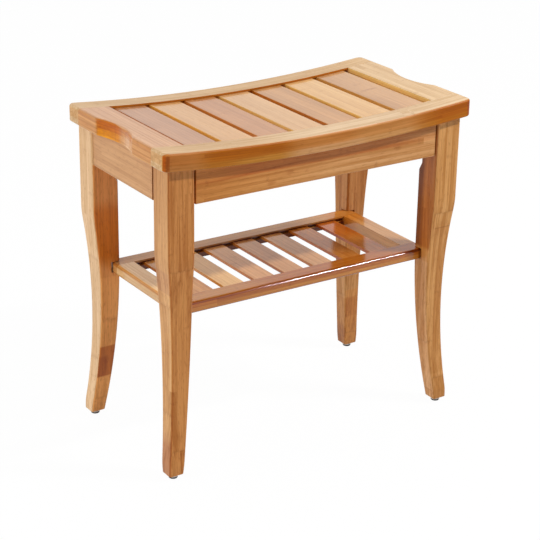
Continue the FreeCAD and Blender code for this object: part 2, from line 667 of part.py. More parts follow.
def leg_bolts():
    """Two socket-head bolts and washers for each leg, put in from the block's inner face."""
    washer_top = f"({BLOCK_BACK} + sizes.washer_thickness)"
    outward = INWARD.negative()
    discs = bolt_bars("washer", BLOCK_BACK, INWARD, "sizes.washer_diameter", "sizes.washer_thickness")
    holes = bolt_bars("washer_hole", f"{BLOCK_BACK} - {PAST}", INWARD, bored("sizes.bolt_diameter"),
                      f"sizes.washer_thickness + 2 * {PAST}")
    washers = [cut(f"washer_{count}", *pair) for count, pair in enumerate(zip(discs, holes), start=1)]
    corners = four_corners("washers", group("washers", washers))
    node("leg_washers", group("leg_washers", list(corners.values())))

    heads = bolt_bars("bolt_head", washer_top, INWARD, "sizes.bolt_head_diameter", "sizes.bolt_head_height")
    shanks = bolt_bars("bolt_shank", f"{washer_top} + {PAST}", outward, "sizes.bolt_diameter",
                       f"sizes.washer_thickness + sizes.block_thickness + sizes.bolt_reach + {PAST}")
    bolts = []
    for count, (head, shank, level) in enumerate(zip(heads, shanks, bolt_levels()), start=1):
        socket = doc.addObject("Part::Prism", f"bolt_socket_{count}")
        socket.Polygon = 6
        socket.Placement.Rotation = FreeCAD.Rotation(Z_AXIS, INWARD)
        floor = f"{washer_top} + sizes.bolt_head_height - sizes.bolt_socket_depth"
        bind(socket, at(*diagonal(floor), level))
        bind(socket, {"Circumradius": "sizes.bolt_socket / 2", "Height": f"sizes.bolt_socket_depth + {PAST}"})
        bolts.append(cut(f"bolt_{count}", fuse(f"bolt_{count}", head, shank), socket))
    corners = four_corners("bolts", group("bolts", bolts))
    node("leg_bolts", group("leg_bolts", list(corners.values())))


def foot_place():
    """The X and Y of the middle of the front left leg's sole."""
    drop = f"(sizes.taper_height - {FOOT_HEIGHT})"
    taper_foot = f"(sizes.leg_width - sizes.taper_radius + sqrt(sizes.taper_radius ^ 2 - {drop} ^ 2))"
    middle = f"({taper_foot} - sizes.foot_flare) / 2"
    return f"-{LEG_X} + {middle}", f"-{LEG_Y} + {middle}"


def feet():
    """A nail-in glide under each leg, with a soft pad on its face."""
    x, y = foot_place()
    pad_top = (x, y, "sizes.pad_thickness")
    disc = rod("glide_disc", pad_top, Z_AXIS, "sizes.glide_diameter", "sizes.glide_thickness")
    nail = rod("glide_nail", pad_top, Z_AXIS, "sizes.nail_diameter",
               "sizes.glide_thickness + sizes.nail_length")
    pad = rod("pad", (x, y, 0), Z_AXIS, "sizes.pad_diameter", "sizes.pad_thickness")
    for place, item in four_corners("glide", fuse("glide", disc, nail)).items():
        node(f"{place}_glide", item)
    for place, item in four_corners("pad", pad).items():
        node(f"{place}_foot_pad", item)


def shelf_half_sizes():
    """Half the shelf's length and depth: it reaches past the legs' inner faces, into their notches."""
    inner_x = size("seat_length") / 2 - size("end_overhang") - size("leg_width")
    inner_y = size("seat_depth") / 2 - size("side_overhang") - size("leg_width")
    return inner_x + size("shelf_end_bite"), inner_y + size("shelf_side_bite")


def shelf_outline(point):
    """Whether a point is on the shelf's outer outline, corners included."""
    half_x, half_y = shelf_half_sizes()
    in_corner = min(abs(point.x) - half_x, abs(point.y) - half_y) > -size("shelf_corner_radius")
    return near(abs(point.x), half_x) or near(abs(point.y), half_y) or in_corner


def round_shelf_edge(name, piece):
    """Give a shelf frame piece its rounded outer edge, larger above than below."""
    top = size("shelf_height")
    levels = (("top", top, size("shelf_top_radius")),
              ("under", top - size("shelf_thickness"), size("shelf_bottom_radius")))
    for level, height, radius in levels:
        piece = round_edges(f"{name}_{level}", piece, radius,
                            lambda p: near(p.z, height) and shelf_outline(p))
    return piece


def shelf_frame():
    """Two long rails, two end boards and their dowels; the corners are rounded to sit in the legs."""
    board_middle = f"(-{SHELF_HALF_X} + sizes.shelf_board_width / 2)"
    place = ("sizes.shelf_dowel_spacing", board_middle, f"-{SHELF_INNER_Y}",
             "(sizes.shelf_height - sizes.shelf_thickness / 2)")
    dowels = dowels_across("shelf_dowel", *place, "sizes.shelf_dowel_diameter", "sizes.shelf_dowel_length")
    bores = dowels_across("shelf_dowel_bore", *place, bored("sizes.shelf_dowel_diameter"),
                          deep("sizes.shelf_dowel_length"))
    left_bores = group("shelf_left_bores", bores)
    right_bores = mirror("shelf_right_bores", left_bores, X_AXIS)
    rear_bores = mirror("shelf_rear_bores", left_bores, Y_AXIS)

    rail = box("shelf_rail_blank", (f"-{SHELF_HALF_X}", f"-{SHELF_HALF_Y}", SHELF_BOTTOM),
               (f"2 * {SHELF_HALF_X}", "sizes.shelf_rail_width", "sizes.shelf_thickness"))
    groove_depth = "(sizes.shelf_tongue + sizes.groove_gap)"
    groove_corner = (f"-{SHELF_OPENING} / 2", f"-{SHELF_INNER_Y} - {groove_depth}",
                     f"{SLAT_FLOOR} - sizes.groove_gap")
    groove = box("shelf_groove", groove_corner, (SHELF_OPENING, f"{groove_depth} + {PAST}",
                                                 "sizes.shelf_slat_thickness + 2 * sizes.groove_gap"))
    rail = cut("shelf_rail", rail, groove, left_bores, right_bores)
    half_x, half_y = shelf_half_sizes()
    rail = round_edges("shelf_corner", rail, size("shelf_corner_radius"),
                       lambda p: near(abs(p.x), half_x) and near(p.y, -half_y))
    front_and_rear(("shelf_", "_rail"), round_shelf_edge("shelf_rail", rail))

    board = box("shelf_board_blank", (f"-{SHELF_HALF_X}", f"-{SHELF_INNER_Y}", SHELF_BOTTOM),
                ("sizes.shelf_board_width", f"2 * {SHELF_INNER_Y}", "sizes.shelf_thickness"))
    board = cut("shelf_board", board, left_bores, rear_bores)
    left_and_right(("shelf_", "_end_board"), round_shelf_edge("shelf_board", board))
    pins = four_corners("shelf_dowels", group("shelf_dowels_front_left", dowels))
    node("shelf_frame_dowels", group("shelf_frame_dowels", list(pins.values())))


def shelf_slats():
    """Slats across the shelf, set wider apart than the seat's, their ends in the rails' grooves."""
    top = size("shelf_height") - size("shelf_slat_recess")
    for count in range(SLAT_COUNT):
        name = f"shelf_slat_{count + 1}"
        left = f"-{SHELF_OPENING} / 2 + {SHELF_GAP} + {count} * (sizes.shelf_slat_width + {SHELF_GAP})"
        slat = box(f"{name}_blank", (left, f"-{SHELF_INNER_Y} - sizes.shelf_tongue", SLAT_FLOOR),
                   ("sizes.shelf_slat_width", f"2 * ({SHELF_INNER_Y} + sizes.shelf_tongue)",
                    "sizes.shelf_slat_thickness"))
        slat = round_edges(name, slat, size("slat_edge_radius"), lambda p: near(p.z, top) and near(p.y, 0))
        node(name, slat)


def write_parts():
    """Check every object and every finished piece, then write one STEP file for each piece."""
    doc.recompute()
    failed = [item.Name for item in doc.Objects if {"Invalid", "Error"} & set(item.State)]
    failed += [item.Label for item in nodes if item.Shape.isNull() or not item.Shape.isValid()]
    if failed:
        raise RuntimeError(f"objects that failed: {', '.join(failed)}")
    os.makedirs("parts", exist_ok=True)
    for item in nodes:
        item.Shape.exportStep(f"parts/{item.Label}.step")
        print(f"{item.Label}: {len(item.Shape.Solids)} solids, {item.Shape.Volume:.0f} mm3")


seat_frame()
seat_slats()
aprons()
corner_blocks()
legs()
leg_bolts()
feet()
shelf_frame()
shelf_slats()
write_parts()
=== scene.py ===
"""The looks of a slatted bamboo bath stool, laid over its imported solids.

The stool stands on the floor z = 0 with its length along X, its depth along Y and its
front at -Y. Lengths are metres, and millimetres inside the bamboo's pattern. The solids
keep their shapes and get their finish here, and the feet get turned glides and pads.
"""

import logging
import math
from dataclasses import dataclass, field, replace
from enum import Enum
from typing import Iterable

import bpy
import numpy as np
from mathutils import Matrix, Vector


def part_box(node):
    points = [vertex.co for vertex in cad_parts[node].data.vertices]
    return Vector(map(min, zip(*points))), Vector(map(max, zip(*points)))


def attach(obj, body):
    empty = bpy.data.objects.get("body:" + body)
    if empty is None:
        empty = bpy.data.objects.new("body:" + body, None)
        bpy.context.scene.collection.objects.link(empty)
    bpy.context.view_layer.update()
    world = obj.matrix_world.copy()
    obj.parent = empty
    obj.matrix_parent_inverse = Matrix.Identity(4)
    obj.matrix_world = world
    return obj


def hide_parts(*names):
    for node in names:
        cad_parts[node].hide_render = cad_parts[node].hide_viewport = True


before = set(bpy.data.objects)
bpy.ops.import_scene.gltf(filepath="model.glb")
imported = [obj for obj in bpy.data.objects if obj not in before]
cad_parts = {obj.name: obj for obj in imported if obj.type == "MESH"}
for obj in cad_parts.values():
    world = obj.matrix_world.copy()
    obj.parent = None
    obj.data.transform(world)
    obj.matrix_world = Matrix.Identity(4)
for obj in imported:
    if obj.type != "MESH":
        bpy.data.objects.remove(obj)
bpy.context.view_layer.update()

Colour = tuple[float, float, float]
Point = tuple[float, float, float]
Socket = bpy.types.NodeSocket
Plug = Socket | float

FAR = 9.0  # further than any point of the stool
SHARP, CRISP = 0.0006, 0.0012  # how soft the edge of a patch is, at an arris and between two strips
TURN_EDGE = 0.04  # the same where a face turns away, as a cosine
MM = 1000.0  # millimetres in a metre
LEFT: Point = (-1.0, 0.0, 0.0)
FRONT: Point = (0.0, -1.0, 0.0)
UP: Point = (0.0, 0.0, 1.0)
WAYS = (-1.0, 1.0)

# Waves of the bamboo's patterns in a millimetre, along the fibres and square to them.
BANDS, BROAD, FIBRE, PORES, MOTTLE = (0.005, 0.17), (0.012, 0.50), (0.055, 2.3), (0.10, 0.55), (0.30, 0.45)
# The tints of a strip's own amber, its pores, its knuckles and its seams.
OWN_TINT, PORE_TINT, KNUCKLE_TINT = (1.0, 0.90, 0.72), (0.66, 0.50, 0.36), (0.60, 0.46, 0.38)
SEAM_TINT = (0.50, 0.36, 0.26)
SEAM_WIDTH = PLY_EDGE = 0.35  # in mm
STRIP_SHIFT = 4100.0  # how far apart the patterns of two strips may start, in mm
LATTICE_START = 0.37  # where the first seam lies from the board's middle, in strips
JOINT_SPREAD, KNUCKLE_SPREAD, LENGTH_STEP = 11.7, 5.3, 7.0  # how far chance moves joints, knuckles and draws

log = logging.getLogger("bath_stool")


class Grain(Enum):
    """The axis a board's fibres run along, then the axes across and through the board."""

    ALONG_X = (0, 1, 2)
    ALONG_Y = (1, 0, 2)
    ALONG_Z = (2, 0, 1)


class Tone(Enum):
    """The deep and the pale colour that the strips of a board lie between."""

    HONEY = ((0.46, 0.155, 0.022), (0.66, 0.285, 0.070))
    CREAM = ((0.53, 0.310, 0.130), (0.68, 0.450, 0.240))
    STRAW = ((0.47, 0.220, 0.070), (0.63, 0.340, 0.130))
    ROSY = ((0.34, 0.145, 0.055), (0.52, 0.250, 0.105))


class Corner(Enum):
    """The four legs, with the side of the stool each stands on in X and in Y."""

    FRONT_LEFT = (-1, -1)
    FRONT_RIGHT = (1, -1)
    REAR_LEFT = (-1, 1)
    REAR_RIGHT = (1, 1)

    @property
    def word(self) -> str:
        """The corner's name as the solids spell it."""
        return self.name.lower()


class Bench:
    """Lays the nodes of one material, or of the world, and wires them together."""

    def __init__(self, name: str, world: bool = False) -> None:
        """Starts an empty material or world.

        Args:
            name: Its name.
            world: Whether it is a world.
        """
        self.made = bpy.data.worlds.new(name) if world else bpy.data.materials.new(name)
        self.made.use_nodes = True
        self.tree = self.made.node_tree
        self.tree.nodes.clear()

    def node(self, kind: str, inputs: Iterable[tuple[int | str, object]] = (), **settings: object) -> bpy.types.Node:
        """Adds a node.

        Args:
            kind: The node's type name.
            inputs: Pairs of an input's key and what it is fed.
            settings: Properties to set on it.

        Returns:
            The new node.
        """
        made = self.tree.nodes.new(kind)
        for key, value in settings.items():
            setattr(made, key, value)
        for key, value in inputs:
            self.feed(made.inputs[key], value)
        return made

    def feed(self, socket: Socket, value: object) -> None:
        """Wires a socket to an input, or sets the input to a plain value.

        Args:
            socket: The input.
            value: An output socket, a number, or a tuple for a vector or colour.
        """
        if isinstance(value, Socket):
            self.tree.links.new(value, socket)
        elif socket.type == "RGBA" and len(value) == 3:
            socket.default_value = (*value, 1.0)
        else:
            socket.default_value = value

    def math(self, operation: str, a: Plug, b: Plug = 0.0, c: Plug = 0.0) -> Socket:
        """Works out one of the Math node's operations on up to three inputs."""
        return self.node("ShaderNodeMath", enumerate((a, b, c)), operation=operation).outputs[0]

    def parts(self, vector: Socket) -> list[Socket]:
        """Takes a vector apart into its X, Y and Z."""
        return list(self.node("ShaderNodeSeparateXYZ", [(0, vector)]).outputs)

    def vector(self, x: Plug, y: Plug, z: Plug) -> Socket:
        """Puts a vector together from its X, Y and Z."""
        return self.node("ShaderNodeCombineXYZ", enumerate((x, y, z))).outputs[0]

    def sum(self, operation: str, a: object, b: object) -> bpy.types.Node:
        """Works out one operation on two vectors: the node has a vector and a number as its outputs."""
        return self.node("ShaderNodeVectorMath", enumerate((a, b)), operation=operation)

    def noise(self, at: Socket, scale: float, detail: float) -> Socket:
        """Reads noise about 0.5 at a vector, by its waves in one unit and the finer layers on them."""
        inputs = (("Vector", at), ("Scale", scale), ("Detail", detail))
        return self.node("ShaderNodeTexNoise", inputs).outputs["Fac"]

    def chance(self, at: Socket) -> tuple[Socket, Socket]:
        """Draws a number and a colour at random for each whole-number vector."""
        made = self.node("ShaderNodeTexWhiteNoise", [("Vector", at)], noise_dimensions="3D")
        return made.outputs["Value"], made.outputs["Color"]

    def spread(self, value: Plug, ends: tuple[float, float, float, float], kind: str = "LINEAR") -> Socket:
        """Carries a value from the range between the first two ends into that between the last two."""
        inputs = zip(("Value", "From Min", "From Max", "To Min", "To Max"), (value, *ends))
        return self.node("ShaderNodeMapRange", inputs, interpolation_type=kind).outputs["Result"]

    def fade(self, value: Plug, start: float, end: float) -> Socket:
        """Steps smoothly from 1 at the start to 0 at the end, which may lie on either side of it."""
        return self.spread(value, (start, end, 1.0, 0.0), "SMOOTHSTEP")

    def mix(self, share: Plug, a: object, b: object, blend: str = "MIX") -> Socket:
        """Blends a share of the second colour, from 0 to 1, over the first."""
        inputs = (("Factor", share), (6, a), (7, b))
        return self.node("ShaderNodeMix", inputs, data_type="RGBA", blend_type=blend).outputs[2]

    def bump(self, height: Socket, strength: float, reach: float, under: Socket | None = None) -> Socket:
        """A surface normal that follows a height.

        Args:
            height: The height, about 0 to 1.
            strength: How much of it shows.
            reach: The height's size in metres.
            under: A normal that this one lies on.

        Returns:
            The bumped normal.
        """
        inputs = [("Strength", strength), ("Distance", reach), ("Height", height)]
        if under is not None:
            inputs.append(("Normal", under))
        return self.node("ShaderNodeBump", inputs).outputs["Normal"]

    def place(self) -> Socket:
        """The point on the piece, in metres, in the stool's frame."""
        return self.node("ShaderNodeTexCoord").outputs["Object"]

    def looks(self) -> Socket:
        """The way that the surface looks at the point."""
        return self.node("ShaderNodeNewGeometry").outputs["Normal"]

    def seen(self) -> Socket:
        """Tells the rays that show a surface, straight or in gloss or glass, from those that light others.

        Returns:
            1 in the rays that show it and 0 in the others.
        """
        path = self.node("ShaderNodeLightPath")
        shown = path.outputs["Is Camera Ray"]
        for ray in ("Is Transmission Ray", "Is Glossy Ray"):
            shown = self.math("MAXIMUM", shown, path.outputs[ray])
        return shown

    def surface(self, **inputs: object) -> bpy.types.Material:
        """Ends the material in one Principled shader.

        Args:
            inputs: Values or sockets for the shader's inputs, with _ for a space.

        Returns:
            The finished material.
        """
        shader = self.node("ShaderNodeBsdfPrincipled", ((key.replace("_", " "), inputs[key]) for key in inputs))
        self.node("ShaderNodeOutputMaterial", [("Surface", shader.outputs[0])])
        return self.made


@dataclass(frozen=True)
class Ply:
    """One layer of a board, from a depth below the seat's dished face, in mm, with its tint."""

    depth: float
    tint: Colour


@dataclass(frozen=True)
class Patch:
    """A stretch of board with a tint: its own colour on some boards, painted light or shade on others.

    It lies between two corners, in metres, with a soft edge in each direction, and on the faces
    that look one way where that is given.
    """

    tint: Colour
    low: Point = (-FAR, -FAR, -FAR)
    high: Point = (FAR, FAR, FAR)
    soft: Point = (SHARP, SHARP, SHARP)
    facing: Point | None = None
    turn: float = 0.70

    @classmethod
    def level(cls, tint: Colour, bottom: float = -FAR, top: float = FAR, soft: float = CRISP,
              facing: Point | None = None) -> "Patch":
        """Makes a patch between two heights.

        Args:
            tint: Its colour.
            bottom: Its lower height.
            top: Its upper height.
            soft: How soft its two edges are.
            facing: The way that its faces look.

        Returns:
            The patch.
        """
        return cls(tint, (-FAR, -FAR, bottom), (FAR, FAR, top), (soft, soft, soft), facing)


@dataclass(frozen=True)
class Knot:
    """A smudge where the culm had a joint: a soft ellipsoid about a point, in metres."""

    centre: Point
    reach: Point
    tint: Colour


@dataclass(frozen=True)
class Dish:
    """The seat's dished face: lowest at the middle, rising by x squared over twice the radius."""

    low: float
    radius: float


@dataclass(frozen=True)
class BambooFinish:
    """Lacquered bamboo, pressed from strips that differ in colour, for one board.

    The board is a lattice of strips, each with its own colour, cut into lengths that meet in
    butt joints. Fibres and pores run along each strip as stretched noise, knuckles cross it at
    the culm's joints, and thin seams part it from its neighbours.
    """

    tone: Tone
    grain: Grain
    width: float
    depth: float
    seed: float
    tint: Colour = (1.0, 1.0, 1.0)
    contrast: float = 0.45
    figure: float = 1.5
    pore: float = 0.22
    joint_length: float = 720.0
    knuckle_gap: float = 330.0
    knuckle: float = 0.35
    seam: float = 0.22
    middle: Point = (0.0, 0.0, 0.0)
    dish: Dish | None = None
    plies: tuple[Ply, ...] = ()
    patches: tuple[Patch, ...] = ()
    knots: tuple[Knot, ...] = ()
    edge: Colour | None = None
    roughness: float = 0.18
    lacquer: float = 0.5

    def material(self, name: str) -> bpy.types.Material:
        """Builds the board's own material.

        Args:
            name: The material's name.

        Returns:
            The material.
        """
        bench = Bench(name)
        place, looks = bench.place(), bench.looks()
        *grid, below = self.axes(bench, place)
        tone, own, knuckle, seam, shift = self.strips(bench, grid)
        run = [bench.math("MULTIPLY_ADD", shift, STRIP_SHIFT, grid[0]), *grid[1:]]
        bands = self.streaks(bench, run, BANDS, 1.0)
        broad = self.streaks(bench, run, BROAD, 3.0)
        fibre = self.streaks(bench, grid, FIBRE, 2.0)
        pores = self.streaks(bench, run, PORES, 1.0)
        cloud = bench.noise(place, scale=17.0, detail=1.0)
        shade = bench.math("MULTIPLY_ADD", bench.math("SUBTRACT", tone, 0.5), self.contrast, 0.5)
        for pattern, weight in ((bands, self.figure), (broad, self.figure), (fibre, 0.50), (cloud, 0.35)):
            shade = bench.math("MULTIPLY_ADD", bench.math("SUBTRACT", pattern, 0.5), weight, shade)
        shade = bench.math("MINIMUM", bench.math("MAXIMUM", shade, 0.0), 1.0)
        deep, pale = (tuple(a * b for a, b in zip(colour, self.tint)) for colour in self.tone.value)
        colour = bench.mix(shade, deep, pale)
        pore = bench.fade(pores, 0.70, 0.56)
        for part, share, tint in ((own, 0.16, OWN_TINT), (pore, self.pore, PORE_TINT),
                                  (knuckle, self.knuckle, KNUCKLE_TINT), (seam, self.seam, SEAM_TINT)):
            colour = bench.mix(bench.math("MULTIPLY", part, share), colour, tint, "MULTIPLY")
        colour = self.layered(bench, colour, below)
        for patch in self.patches:
            colour = bench.mix(self.inside(bench, place, looks, patch), colour, patch.tint, "MULTIPLY")
        for knot in self.knots:
            colour = bench.mix(self.smudge(bench, place, pores, knot), colour, knot.tint, "MULTIPLY")
        if self.edge:
            colour = bench.mix(self.rounding(bench, looks), colour, self.edge, "MULTIPLY")
        gloss = bench.math("MULTIPLY_ADD", fibre, 0.10, self.roughness - 0.05)
        gloss = bench.math("MULTIPLY_ADD", knuckle, 0.05, gloss)
        normal = bench.bump(bench.noise(place, scale=55.0, detail=1.0), strength=0.08, reach=0.0004)
        relief = bench.math("MULTIPLY_ADD", seam, -0.8, bench.math("MULTIPLY_ADD", broad, 0.5, fibre))
        normal = bench.bump(relief, strength=0.10, reach=0.00012, under=normal)
        return bench.surface(Base_Color=colour, Roughness=gloss, Normal=normal, IOR=1.5,
                             Specular_IOR_Level=self.lacquer)

    def streaks(self, bench: Bench, grid: list[Socket], waves: tuple[float, float], detail: float) -> Socket:
        """Noise drawn out along the fibres.

        Args:
            bench: The material's bench.
            grid: Distances along the fibres, across the board and through it.
            waves: Waves in a millimetre, along the fibres and square to them.
            detail: How many finer layers lie on the first.

        Returns:
            Noise about 0.5.
        """
        long, fine = waves
        at = bench.vector(*(bench.math("MULTIPLY", value, wave) for value, wave in zip(grid, (long, fine, fine))))
        return bench.noise(at, 1.0, detail)

    def axes(self, bench: Bench, place: Socket) -> list[Socket]:
        """The pattern's coordinates, in mm from the board's middle.

        Args:
            bench: The material's bench.
            place: The point on the board.

        Returns:
            Along the fibres, across the board, through it, and the depth below the dish.
        """
        x, y, z = bench.parts(place)
        level = z
        if self.dish:
            rise = bench.math("DIVIDE", bench.math("MULTIPLY", x, x), 2.0 * self.dish.radius)
            level = bench.math("SUBTRACT", z, rise)
        below = bench.math("MULTIPLY_ADD", level, -MM, MM * (self.dish.low if self.dish else 0.0))
        found = [bench.math("MULTIPLY_ADD", value, MM, -MM * self.middle[i]) for i, value in enumerate((x, y, level))]
        return [found[i] for i in self.grain.value] + [below]

    def strips(self, bench: Bench, grid: list[Socket]) -> list[Socket]:
        """The lattice of strips: whole-number cells across and through, cut along at butt joints.

        Args:
            bench: The material's bench.
            grid: Distances along the fibres, across the board and through it.

        Returns:
            The strip's tone, its own amber share, its knuckles, its seams and its fibres' shift.
        """
        cells, edges, along = [], [], grid[0]
        for value, size in zip(grid[1:], (self.width, self.depth)):
            steps = bench.math("MULTIPLY_ADD", value, 1.0 / size, LATTICE_START)
            cells.append(bench.math("FLOOR", steps))
            edges.append(bench.math("MULTIPLY", bench.math("PINGPONG", steps, 0.5), size))
        first, _ = bench.chance(bench.vector(*cells, self.seed))
        start = bench.math("MULTIPLY", first, JOINT_SPREAD)
        steps = bench.math("MULTIPLY_ADD", along, 1.0 / self.joint_length, start)
        length = bench.math("MULTIPLY_ADD", bench.math("FLOOR", steps), LENGTH_STEP, self.seed)
        _, colour = bench.chance(bench.vector(*cells, length))
        tone, own, shift = bench.parts(colour)
        seam = bench.fade(bench.math("MINIMUM", *edges), 0.0, SEAM_WIDTH)
        start = bench.math("MULTIPLY", first, KNUCKLE_SPREAD)
        steps = bench.math("MULTIPLY_ADD", along, 1.0 / self.knuckle_gap, start)
        reach = bench.math("MULTIPLY", bench.math("PINGPONG", steps, 0.5), self.knuckle_gap)
        mottle = self.streaks(bench, grid, MOTTLE, 2.0)
        knuckle = bench.math("MULTIPLY", bench.fade(reach, 0.6, 3.6), bench.fade(mottle, 0.62, 0.38))
        return [tone, own, knuckle, seam, shift]

    def layered(self, bench: Bench, colour: Socket, below: Socket) -> Socket:
        """Tints the board's plies, whose faces follow the seat's dish.

        Args:
            bench: The material's bench.
            colour: The board's colour so far.
            below: The depth below the dished face, in mm.

        Returns:
            The tinted colour.
        """
        for number, ply in enumerate(self.plies):
            within = bench.fade(below, ply.depth + PLY_EDGE, ply.depth - PLY_EDGE)
            for lower in self.plies[number + 1:number + 2]:
                end = bench.fade(below, lower.depth - PLY_EDGE, lower.depth + PLY_EDGE)
                within = bench.math("MULTIPLY", within, end)
            colour = bench.mix(within, colour, ply.tint, "MULTIPLY")
        return colour

    def inside(self, bench: Bench, place: Socket, looks: Socket, patch: Patch) -> Plug:
        """How far a point lies inside a patch: the product of soft steps at its sides.

        Args:
            bench: The material's bench.
            place: The point on the board.
            looks: The way that the surface looks there.
            patch: The patch.

        Returns:
            1 inside the patch and 0 outside.
        """
        share: Plug = 1.0
        for value, low, high, soft in zip(bench.parts(place), patch.low, patch.high, patch.soft):
            if low > -FAR:
                share = bench.math("MULTIPLY", share, bench.fade(value, low + soft, low - soft))
            if high < FAR:
                share = bench.math("MULTIPLY", share, bench.fade(value, high - soft, high + soft))
        if patch.facing:
            toward = bench.sum("DOT_PRODUCT", looks, patch.facing).outputs["Value"]
            turned = bench.fade(toward, patch.turn + TURN_EDGE, patch.turn - TURN_EDGE)
            share = bench.math("MULTIPLY", share, turned)
        return share

    def smudge(self, bench: Bench, place: Socket, pores: Socket, knot: Knot) -> Socket:
        """How dark a knot is at a point: a soft step on the distance in its own reach, frayed by the pores.

        Args:
            bench: The material's bench.
            place: The point on the board.
            pores: The board's pores.
            knot: The knot.

        Returns:
            1 at the knot's middle and 0 outside.
        """
        apart = bench.sum("SUBTRACT", place, knot.centre).outputs["Vector"]
        scaled = bench.sum("DIVIDE", apart, knot.reach).outputs["Vector"]
        far = bench.sum("LENGTH", scaled, (0.0, 0.0, 0.0)).outputs["Value"]
        return bench.fade(bench.math("MULTIPLY_ADD", pores, -1.2, bench.math("ADD", far, 0.6)), 0.25, 1.0)

    def rounding(self, bench: Bench, looks: Socket) -> Socket:
        """How far a point lies on a rounded edge: the middle one of its direction's three parts, without sign.

        Args:
            bench: The material's bench.
            looks: The way that the surface looks.

        Returns:
            1 on a rounded edge and 0 on the board's faces.
        """
        x, y, z = (bench.math("ABSOLUTE", part) for part in bench.parts(looks))
        upper = bench.math("MINIMUM", bench.math("MAXIMUM", x, y), z)
        middle = bench.math("MAXIMUM", bench.math("MINIMUM", x, y), upper)
        return bench.fade(middle, 0.50, 0.22)


@dataclass(frozen=True)
class SteelFinish:
    """Zinc-plated steel: a cool grey with soft blotches and fine turning marks."""

    colour: Colour = (0.56, 0.57, 0.58)
    worn: Colour = (0.40, 0.40, 0.39)

    def material(self, name: str) -> bpy.types.Material:
        """Builds the steel's material.

        Args:
            name: The material's name.

        Returns:
            The material.
        """
        bench = Bench(name)
        place = bench.place()
        blotch = bench.noise(place, scale=140.0, detail=3.0)
        marks = bench.noise(place, scale=1900.0, detail=2.0)
        colour = bench.mix(bench.fade(blotch, 0.35, 0.65), self.colour, self.worn)
        gloss = bench.math("MULTIPLY_ADD", blotch, 0.22, 0.20)
        return bench.surface(Base_Color=colour, Metallic=1.0, Roughness=gloss,
                             Normal=bench.bump(marks, strength=0.15, reach=0.00004))


@dataclass(frozen=True)
class PlainWoodFinish:
    """Turned beech, for the dowels: pale, with short flecks along the grain."""

    colour: Colour = (0.60, 0.42, 0.25)
    fleck: Colour = (0.42, 0.25, 0.13)

    def material(self, name: str) -> bpy.types.Material:
        """Builds the beech's material.

        Args:
            name: The material's name.

        Returns:
            The material.
        """
        bench = Bench(name)
        flecks = bench.noise(bench.place(), scale=900.0, detail=3.0)
        colour = bench.mix(bench.fade(flecks, 0.66, 0.52), self.colour, self.fleck)
        return bench.surface(Base_Color=colour, Roughness=bench.math("MULTIPLY_ADD", flecks, 0.2, 0.5),
                             Normal=bench.bump(flecks, strength=0.2, reach=0.0001))


@dataclass(frozen=True)
class MouldedFinish:
    """A moulded part of a foot: a base colour with cloudy wear and a fine skin texture."""

    colour: Colour
    wear: Colour
    roughness: float
    grit: float

    def material(self, name: str) -> bpy.types.Material:
        """Builds the moulded part's material.

        Args:
            name: The material's name.

        Returns:
            The material.
        """
        bench = Bench(name)
        place = bench.place()
        cloud = bench.noise(place, scale=160.0, detail=3.0)
        skin = bench.noise(place, scale=2600.0, detail=2.0)
        colour = bench.mix(bench.fade(cloud, 0.62, 0.40), self.colour, self.wear)
        gloss = bench.math("MULTIPLY_ADD", skin, 0.2, self.roughness - 0.1)
        return bench.surface(Base_Color=colour, Roughness=gloss, Normal=bench.bump(skin, self.grit, reach=0.0002))


class SoftShading:
    """Rounds the shading of the solids: joins their triangles and keeps only real arrises sharp."""

    def __init__(self, sharp: float = math.radians(28.0)) -> None:
        """Builds the node group that the solids share.

        Args:
            sharp: The angle between two faces above which their edge stays sharp.
        """
        self.group = bpy.data.node_groups.new("soft_shading", "GeometryNodeTree")
        for way in ("INPUT", "OUTPUT"):
            self.group.interface.new_socket("Geometry", in_out=way, socket_type="NodeSocketGeometry")
        nodes, links = self.group.nodes, self.group.links
        start, end = nodes.new("NodeGroupInput"), nodes.new("NodeGroupOutput")
        joined = nodes.new("GeometryNodeMergeByDistance")
        joined.inputs["Distance"].default_value = 2e-6
        smooth = nodes.new("GeometryNodeSetShadeSmooth")
        angle = nodes.new("GeometryNodeInputMeshEdgeAngle")
        above = nodes.new("FunctionNodeCompare")
        above.inputs[1].default_value = sharp
        arris = nodes.new("GeometryNodeSetShadeSmooth")
        arris.domain = "EDGE"
        arris.inputs["Shade Smooth"].default_value = False
        links.new(start.outputs[0], joined.inputs["Geometry"])
        links.new(joined.outputs[0], smooth.inputs["Geometry"])
        links.new(smooth.outputs[0], arris.inputs["Geometry"])
        links.new(angle.outputs["Unsigned Angle"], above.inputs[0])
        links.new(above.outputs[0], arris.inputs["Selection"])
        links.new(arris.outputs[0], end.inputs[0])

    def smooth(self, piece: bpy.types.Object) -> None:
        """Adds the shading to a solid, with normals that its large faces lead.

        Args:
            piece: The solid.
        """
        piece.modifiers.new("soft_shading", "NODES").node_group = self.group
        led = piece.modifiers.new("large_faces_lead", "WEIGHTED_NORMAL")
        led.keep_sharp = True
        led.weight = 90


